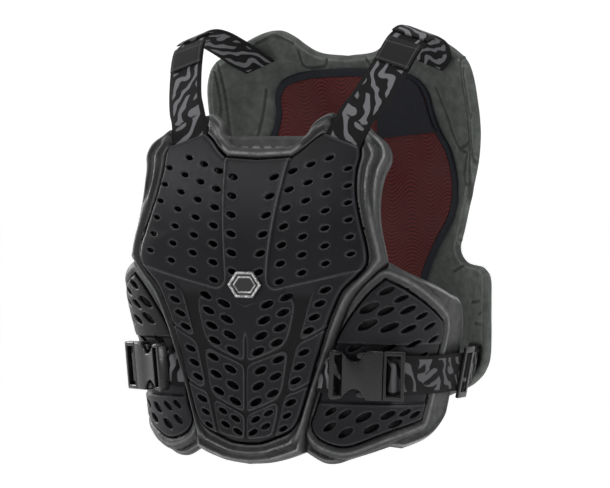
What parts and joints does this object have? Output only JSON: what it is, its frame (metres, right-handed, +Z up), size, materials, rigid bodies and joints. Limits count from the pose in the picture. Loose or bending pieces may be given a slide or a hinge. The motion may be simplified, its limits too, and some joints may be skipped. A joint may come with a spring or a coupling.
{
  "type": "roost deflector",
  "caption": "Motocross chest and back protector: vented front plate and side wings on foam, padded back panel with mesh, shoulder webbing and side-release waist buckles",
  "frame": {"origin": "Midway between the shoulder straps at the height of the underside of their crests, where the protector hangs on the shoulders", "axes": "+Z up, the wearer faces -Y, +X is the wearer's left"},
  "size_m": [0.3788, 0.2618, 0.4586],
  "materials": {
    "foam": "satin moulded foam",
    "back_foam": "matte moulded foam",
    "shell": "satin",
    "badge": "satin metal",
    "mesh": "knitted mesh",
    "binding": "woven binding",
    "webbing": "woven webbing with grey strokes",
    "patch": "hook-and-loop",
    "buckle": "satin moulded plastic"
  },
  "bodies": {
    "root": {"front_foam": "foam", "wing_foam_left": "foam", "wing_foam_right": "foam", "back_foam": "back_foam", "front_plate": "shell", "wing_plate_left": "shell", "wing_plate_right": "shell", "badge": "badge", "back_mesh": "mesh", "mesh_border": "binding", "mesh_flap": "binding", "front_strap_left": "webbing", "front_strap_right": "webbing", "back_strap_left": "webbing", "back_strap_right": "webbing", "waist_tab_left": "webbing", "waist_tab_right": "webbing", "waist_strap_left": "webbing", "waist_strap_right": "webbing", "strap_patch_left": "patch", "strap_patch_right": "patch", "buckle_socket_left": "buckle", "buckle_socket_right": "buckle", "buckle_plug_left": "buckle", "buckle_plug_right": "buckle", "strap_slider_left": "buckle", "strap_slider_right": "buckle"}
  },
  "joints": []
}
